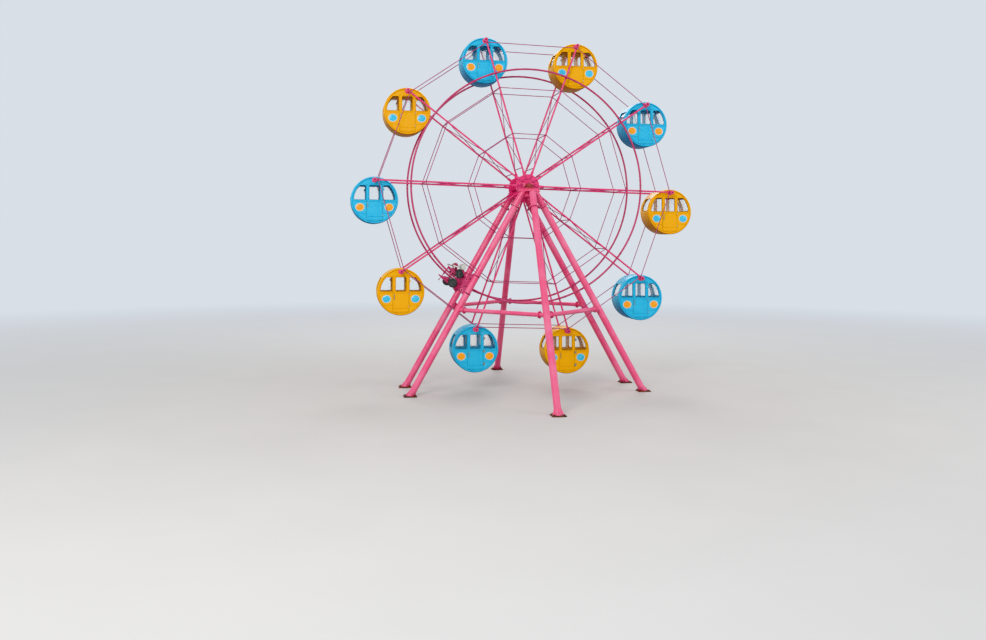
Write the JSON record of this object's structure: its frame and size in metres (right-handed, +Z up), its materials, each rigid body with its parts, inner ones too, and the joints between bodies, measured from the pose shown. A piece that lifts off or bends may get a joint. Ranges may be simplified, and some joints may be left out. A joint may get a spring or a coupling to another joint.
{
  "type": "ferris wheel",
  "caption": "Ferris wheel with round closed cabins hung between paired spokes, on a stand of raking tubular legs with rubber tyre drives at the rim.",
  "frame": {"origin": "on the ground under the middle of the hub", "axes": "+Z up, +Y along the axle towards the rear, +X to the right seen from the front"},
  "size_m": [14.5146, 13.06, 14.7098],
  "materials": {
    "pink_steel": "glossy pink paint, lightly weathered",
    "blue_shell": "gloss sky blue moulded shell",
    "yellow_shell": "gloss warm yellow moulded shell",
    "tyre_rubber": "matt black rubber, worn grey",
    "motor_paint": "pale grey machine paint",
    "bare_steel": "machined steel"
  },
  "bodies": {
    "stand": {"front_left_leg": "pink_steel", "front_right_leg": "pink_steel", "front_centre_leg": "pink_steel", "front_left_tie": "pink_steel", "front_right_tie": "pink_steel", "front_bearing_head": "pink_steel", "front_drive_bracket": "pink_steel", "rear_left_leg": "pink_steel", "rear_right_leg": "pink_steel", "rear_centre_leg": "pink_steel", "rear_left_tie": "pink_steel", "rear_right_tie": "pink_steel", "rear_bearing_head": "pink_steel", "rear_drive_bracket": "pink_steel"},
    "wheel": {"hub": "pink_steel", "main_axle": "bare_steel", "front_rim": "pink_steel", "front_inner_rods": "pink_steel", "front_outer_rods": "pink_steel", "front_tip_rods": "pink_steel", "rear_rim": "pink_steel", "rear_inner_rods": "pink_steel", "rear_outer_rods": "pink_steel", "rear_tip_rods": "pink_steel", "spoke_1": "pink_steel", "spoke_2": "pink_steel", "spoke_3": "pink_steel", "spoke_4": "pink_steel", "spoke_5": "pink_steel", "spoke_6": "pink_steel", "spoke_7": "pink_steel", "spoke_8": "pink_steel", "spoke_9": "pink_steel", "spoke_10": "pink_steel"},
    "cabin_body_1": {"cabin_1": "yellow_shell"},
    "cabin_body_2": {"cabin_2": "blue_shell"},
    "cabin_body_3": {"cabin_3": "yellow_shell"},
    "cabin_body_4": {"cabin_4": "blue_shell"},
    "cabin_body_5": {"cabin_5": "yellow_shell"},
    "cabin_body_6": {"cabin_6": "blue_shell"},
    "cabin_body_7": {"cabin_7": "yellow_shell"},
    "cabin_body_8": {"cabin_8": "blue_shell"},
    "cabin_body_9": {"cabin_9": "yellow_shell"},
    "cabin_body_10": {"cabin_10": "blue_shell"},
    "door_body_8": {"cabin_8_door": "blue_shell"},
    "door_body_9": {"cabin_9_door": "yellow_shell"},
    "front_inner_arm_body": {"front_inner_arm": "pink_steel", "front_drive_motor": "motor_paint"},
    "front_inner_tyre_body": {"front_inner_tyre": "tyre_rubber"},
    "front_outer_arm_body": {"front_outer_arm": "pink_steel"},
    "front_outer_tyre_body": {"front_outer_tyre": "tyre_rubber"},
    "rear_inner_arm_body": {"rear_inner_arm": "pink_steel", "rear_drive_motor": "motor_paint"},
    "rear_inner_tyre_body": {"rear_inner_tyre": "tyre_rubber"},
    "rear_outer_arm_body": {"rear_outer_arm": "pink_steel"},
    "rear_outer_tyre_body": {"rear_outer_tyre": "tyre_rubber"}
  },
  "joints": [
    {"name": "wheel_turn", "type": "hinge", "parent": "stand", "child": "wheel", "pos_m": [0, 0, 8.53], "axis": [0, 1, 0], "continuous": true},
    {"name": "cabin_1_swing", "type": "hinge", "parent": "wheel", "child": "cabin_body_1", "pos_m": [6.29732, 0, 8.3464], "axis": [0, 1, 0], "continuous": true},
    {"name": "cabin_2_swing", "type": "hinge", "parent": "wheel", "child": "cabin_body_2", "pos_m": [5.20256, 0, 12.08294], "axis": [0, 1, 0], "continuous": true},
    {"name": "cabin_3_swing", "type": "hinge", "parent": "wheel", "child": "cabin_body_3", "pos_m": [2.12059, 0, 14.46238], "axis": [0, 1, 0], "continuous": true},
    {"name": "cabin_4_swing", "type": "hinge", "parent": "wheel", "child": "cabin_body_4", "pos_m": [-1.77137, 0, 14.57585], "axis": [0, 1, 0], "continuous": true},
    {"name": "cabin_5_swing", "type": "hinge", "parent": "wheel", "child": "cabin_body_5", "pos_m": [-4.98672, 0, 12.38001], "axis": [0, 1, 0], "continuous": true},
    {"name": "cabin_6_swing", "type": "hinge", "parent": "wheel", "child": "cabin_body_6", "pos_m": [-6.29732, 0, 8.7136], "axis": [0, 1, 0], "continuous": true},
    {"name": "cabin_7_swing", "type": "hinge", "parent": "wheel", "child": "cabin_body_7", "pos_m": [-5.20256, 0, 4.97706], "axis": [0, 1, 0], "continuous": true},
    {"name": "cabin_8_swing", "type": "hinge", "parent": "wheel", "child": "cabin_body_8", "pos_m": [-2.12059, 0, 2.59762], "axis": [0, 1, 0], "continuous": true},
    {"name": "cabin_9_swing", "type": "hinge", "parent": "wheel", "child": "cabin_body_9", "pos_m": [1.77137, 0, 2.48415], "axis": [0, 1, 0], "continuous": true},
    {"name": "cabin_10_swing", "type": "hinge", "parent": "wheel", "child": "cabin_body_10", "pos_m": [4.98672, 0, 4.67999], "axis": [0, 1, 0], "continuous": true},
    {"name": "cabin_8_door_hinge", "type": "hinge", "parent": "cabin_body_8", "child": "door_body_8", "pos_m": [-1.77559, -0.562, 1.77162], "axis": [0, 0, -1], "range_deg": [-100, 0]},
    {"name": "cabin_9_door_hinge", "type": "hinge", "parent": "cabin_body_9", "child": "door_body_9", "pos_m": [2.11637, -0.562, 1.65815], "axis": [0, 0, -1], "range_deg": [-100, 0]},
    {"name": "front_inner_arm_swing", "type": "hinge", "parent": "stand", "child": "front_inner_arm_body", "pos_m": [-2.6, -1.025, 4.686], "axis": [0, 1, 0], "range_deg": [0, 6]},
    {"name": "front_inner_tyre_turn", "type": "hinge", "parent": "front_inner_arm_body", "child": "front_inner_tyre_body", "pos_m": [-2.84352, -0.93, 4.90353], "axis": [0, 1, 0], "continuous": true},
    {"name": "front_outer_arm_swing", "type": "hinge", "parent": "stand", "child": "front_outer_arm_body", "pos_m": [-2.803, -1.025, 4.259], "axis": [0, -1, 0], "range_deg": [0, 6]},
    {"name": "front_outer_tyre_turn", "type": "hinge", "parent": "front_outer_arm_body", "child": "front_outer_tyre_body", "pos_m": [-3.13763, -0.93, 4.52843], "axis": [0, 1, 0], "continuous": true},
    {"name": "rear_inner_arm_swing", "type": "hinge", "parent": "stand", "child": "rear_inner_arm_body", "pos_m": [-2.6, 1.025, 4.686], "axis": [0, 1, 0], "range_deg": [0, 6]},
    {"name": "rear_inner_tyre_turn", "type": "hinge", "parent": "rear_inner_arm_body", "child": "rear_inner_tyre_body", "pos_m": [-2.84352, 0.93, 4.90353], "axis": [0, 1, 0], "continuous": true},
    {"name": "rear_outer_arm_swing", "type": "hinge", "parent": "stand", "child": "rear_outer_arm_body", "pos_m": [-2.803, 1.025, 4.259], "axis": [0, -1, 0], "range_deg": [0, 6]},
    {"name": "rear_outer_tyre_turn", "type": "hinge", "parent": "rear_outer_arm_body", "child": "rear_outer_tyre_body", "pos_m": [-3.13763, 0.93, 4.52843], "axis": [0, 1, 0], "continuous": true}
  ],
  "couplings": [
    {"joint": "cabin_1_swing", "follows": "wheel_turn", "ratio": -1},
    {"joint": "cabin_2_swing", "follows": "wheel_turn", "ratio": -1},
    {"joint": "cabin_3_swing", "follows": "wheel_turn", "ratio": -1},
    {"joint": "cabin_4_swing", "follows": "wheel_turn", "ratio": -1},
    {"joint": "cabin_5_swing", "follows": "wheel_turn", "ratio": -1},
    {"joint": "cabin_6_swing", "follows": "wheel_turn", "ratio": -1},
    {"joint": "cabin_7_swing", "follows": "wheel_turn", "ratio": -1},
    {"joint": "cabin_8_swing", "follows": "wheel_turn", "ratio": -1},
    {"joint": "cabin_9_swing", "follows": "wheel_turn", "ratio": -1},
    {"joint": "cabin_10_swing", "follows": "wheel_turn", "ratio": -1},
    {"joint": "front_inner_tyre_turn", "follows": "wheel_turn", "ratio": 25.316},
    {"joint": "front_outer_tyre_turn", "follows": "wheel_turn", "ratio": -25.737},
    {"joint": "rear_inner_tyre_turn", "follows": "wheel_turn", "ratio": 25.316},
    {"joint": "rear_outer_tyre_turn", "follows": "wheel_turn", "ratio": -25.737}
  ]
}
